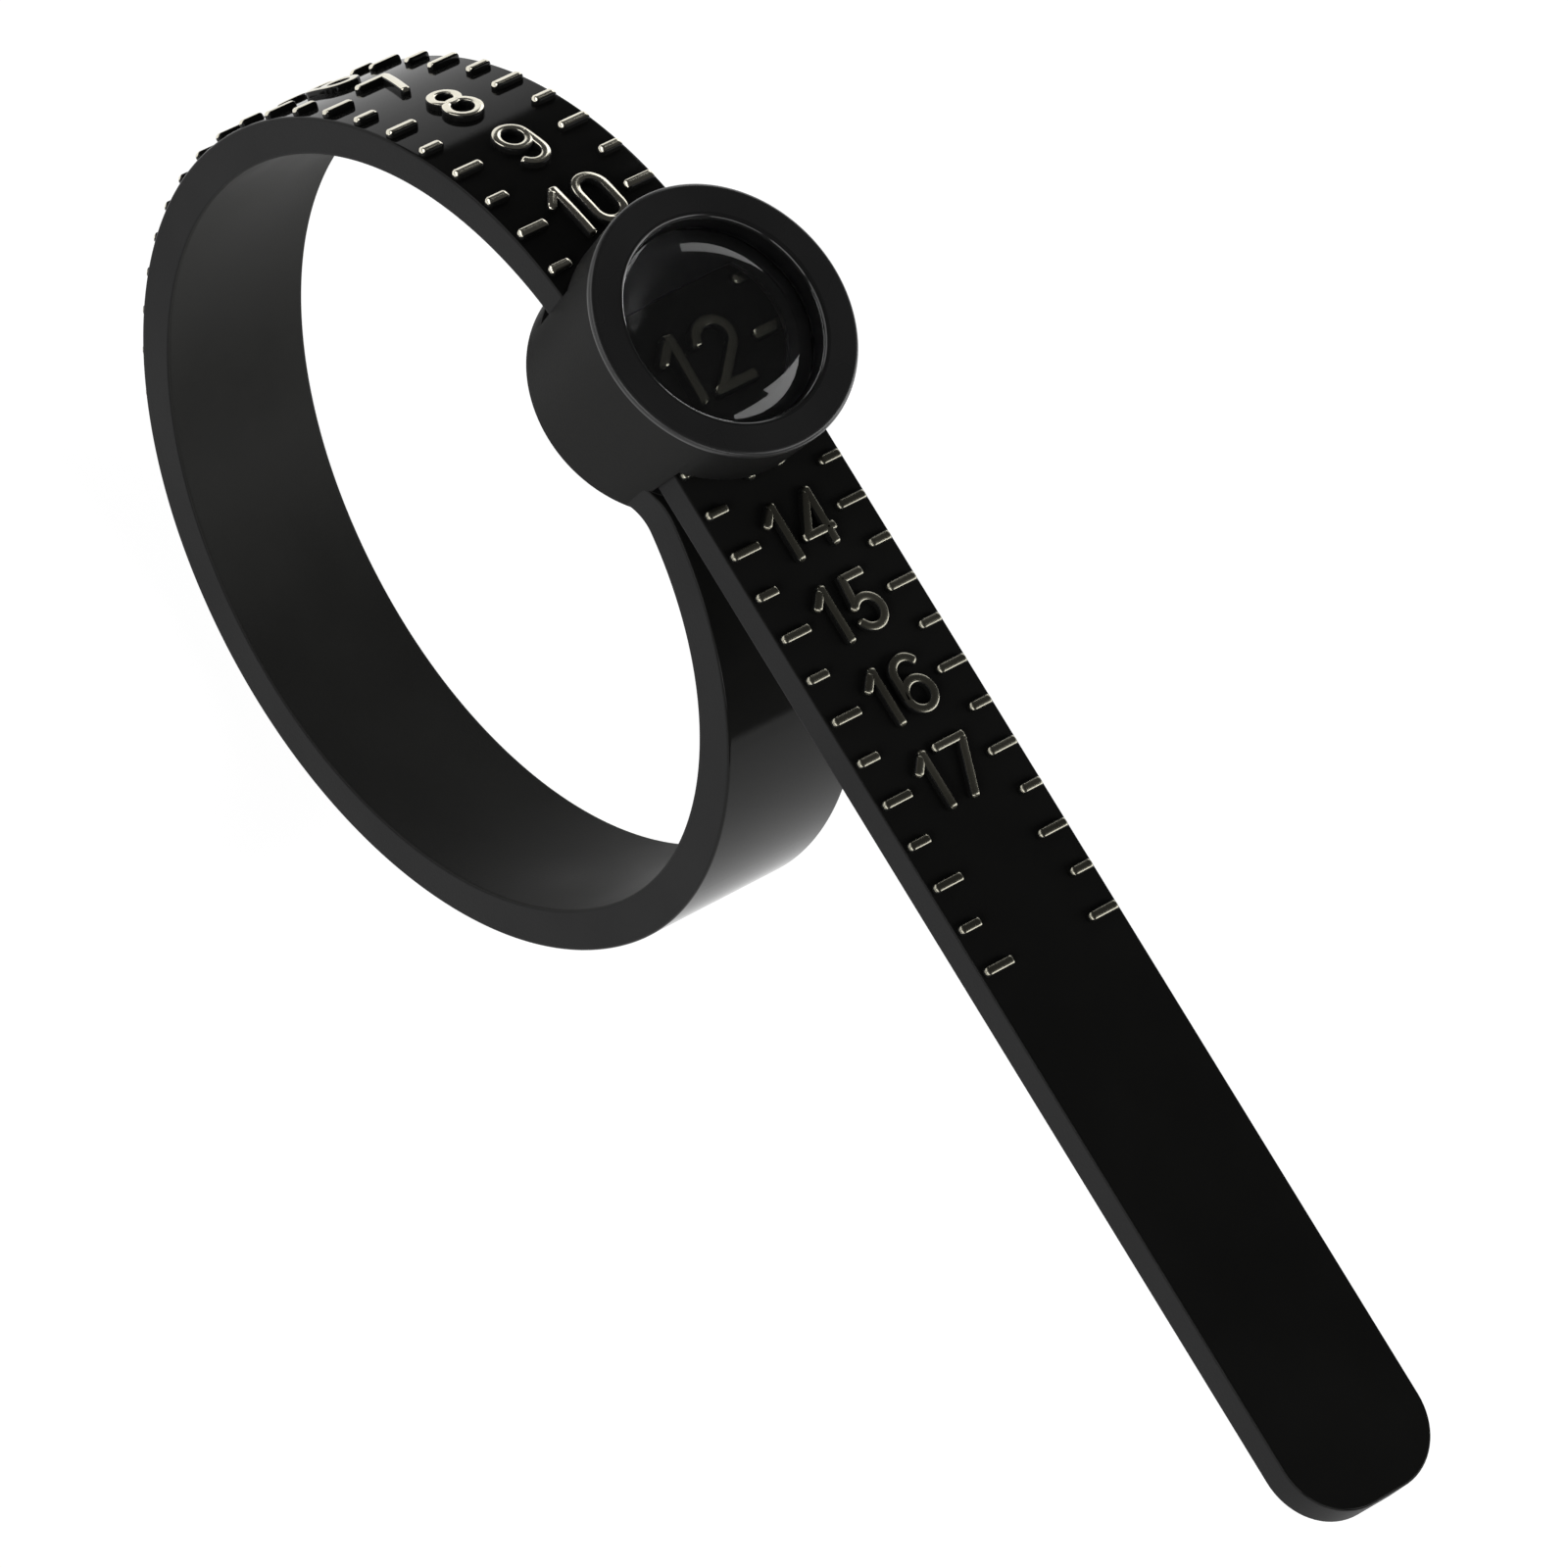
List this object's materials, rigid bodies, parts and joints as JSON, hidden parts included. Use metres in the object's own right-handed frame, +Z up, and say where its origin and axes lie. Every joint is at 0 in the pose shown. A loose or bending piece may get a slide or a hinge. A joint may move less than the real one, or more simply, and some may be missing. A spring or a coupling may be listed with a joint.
{
  "type": "ring sizer stick",
  "caption": "Finger gauge: a marked plastic strap looped back through its own round head, with the ring size read under a small magnifying lens; the loop opens as the tail slides.",
  "frame": {"origin": "centre of the head's flat base, on the head's axis, where the back of the finger rests", "axes": "+X the way the tail leaves the head, +Y across the strap, +Z up through the lens"},
  "size_m": [0.0483, 0.0078, 0.026],
  "materials": {
    "head_plastic": "fine satin",
    "strap_plastic": "polished outer face, satin sides",
    "lens_acrylic": "clear polished"
  },
  "bodies": {
    "head": {"housing": "head_plastic", "lens": "lens_acrylic"},
    "loop_link_01": {"loop_link_01": "strap_plastic"},
    "loop_link_02": {"loop_link_02": "strap_plastic"},
    "loop_link_03": {"loop_link_03": "strap_plastic"},
    "loop_link_04": {"loop_link_04": "strap_plastic"},
    "loop_link_05": {"loop_link_05": "strap_plastic"},
    "loop_link_06": {"loop_link_06": "strap_plastic"},
    "loop_link_07": {"loop_link_07": "strap_plastic"},
    "loop_link_08": {"loop_link_08": "strap_plastic"},
    "loop_link_09": {"loop_link_09": "strap_plastic"},
    "loop_link_10": {"loop_link_10": "strap_plastic"},
    "tail_scale": {"tail_scale": "strap_plastic"},
    "tail_link_01": {"tail_link_01": "strap_plastic"},
    "tail_link_02": {"tail_link_02": "strap_plastic"},
    "tail_tip": {"tail_tip": "strap_plastic"}
  },
  "joints": [
    {"name": "strap_slide", "type": "slide", "parent": "head", "child": "tail_scale", "axis": [1, 0, 0], "range_m": [-0.0128, 0.0006]},
    {"name": "loop_bend_01", "type": "hinge", "parent": "head", "child": "loop_link_01", "pos_m": [0.00445, 0, 0.00028], "axis": [0, 1, 0], "range_deg": [-1, 19.9]},
    {"name": "loop_bend_02", "type": "hinge", "parent": "loop_link_01", "child": "loop_link_02", "pos_m": [0.00985, 0, -0.0041], "axis": [0, 1, 0], "range_deg": [-0.2, 2.9]},
    {"name": "loop_bend_03", "type": "hinge", "parent": "loop_link_02", "child": "loop_link_03", "pos_m": [0.01094, 0, -0.01097], "axis": [0, 1, 0], "range_deg": [-6.6, 0.4]},
    {"name": "loop_bend_04", "type": "hinge", "parent": "loop_link_03", "child": "loop_link_04", "pos_m": [0.00675, 0, -0.0178], "axis": [0, 1, 0], "range_deg": [-9.4, 0.5]},
    {"name": "loop_bend_05", "type": "hinge", "parent": "loop_link_04", "child": "loop_link_05", "pos_m": [-0.0008, 0, -0.02047], "axis": [0, 1, 0], "range_deg": [-10.1, 0.6]},
    {"name": "loop_bend_06", "type": "hinge", "parent": "loop_link_05", "child": "loop_link_06", "pos_m": [-0.00816, 0, -0.0179], "axis": [0, 1, 0], "range_deg": [-9.6, 0.5]},
    {"name": "loop_bend_07", "type": "hinge", "parent": "loop_link_06", "child": "loop_link_07", "pos_m": [-0.01126, 0, -0.01391], "axis": [0, 1, 0], "range_deg": [-8, 0.5]},
    {"name": "loop_bend_08", "type": "hinge", "parent": "loop_link_07", "child": "loop_link_08", "pos_m": [-0.01229, 0, -0.00895], "axis": [0, 1, 0], "range_deg": [-4.2, 0.3]},
    {"name": "loop_bend_09", "type": "hinge", "parent": "loop_link_08", "child": "loop_link_09", "pos_m": [-0.01103, 0, -0.00405], "axis": [0, 1, 0], "range_deg": [-0.3, 5.1]},
    {"name": "loop_bend_10", "type": "hinge", "parent": "loop_link_09", "child": "loop_link_10", "pos_m": [-0.00775, 0, -0.0002], "axis": [0, 1, 0], "range_deg": [-1, 19.7]},
    {"name": "tail_bend_01", "type": "hinge", "parent": "tail_scale", "child": "tail_link_01", "pos_m": [0.02, 0, 0.002], "axis": [0, 1, 0], "range_deg": [-10, 10], "stiffness_Nm_per_rad": 0.0006},
    {"name": "tail_bend_02", "type": "hinge", "parent": "tail_link_01", "child": "tail_link_02", "pos_m": [0.025, 0, 0.002], "axis": [0, 1, 0], "range_deg": [-12, 12]},
    {"name": "tail_bend_03", "type": "hinge", "parent": "tail_link_02", "child": "tail_tip", "pos_m": [0.03, 0, 0.002], "axis": [0, 1, 0], "range_deg": [-12, 12]}
  ],
  "couplings": [
    {"joint": "loop_bend_01", "follows": "strap_slide", "rad_per_m": -27.02},
    {"joint": "loop_bend_02", "follows": "strap_slide", "rad_per_m": -3.87},
    {"joint": "loop_bend_03", "follows": "strap_slide", "rad_per_m": 8.8},
    {"joint": "loop_bend_04", "follows": "strap_slide", "rad_per_m": 12.74},
    {"joint": "loop_bend_05", "follows": "strap_slide", "rad_per_m": 13.59},
    {"joint": "loop_bend_06", "follows": "strap_slide", "rad_per_m": 12.94},
    {"joint": "loop_bend_07", "follows": "strap_slide", "rad_per_m": 10.82},
    {"joint": "loop_bend_08", "follows": "strap_slide", "rad_per_m": 5.59},
    {"joint": "loop_bend_09", "follows": "strap_slide", "rad_per_m": -6.88},
    {"joint": "loop_bend_10", "follows": "strap_slide", "rad_per_m": -26.71},
    {"joint": "tail_bend_02", "follows": "tail_bend_01", "ratio": 1},
    {"joint": "tail_bend_03", "follows": "tail_bend_01", "ratio": 1}
  ]
}
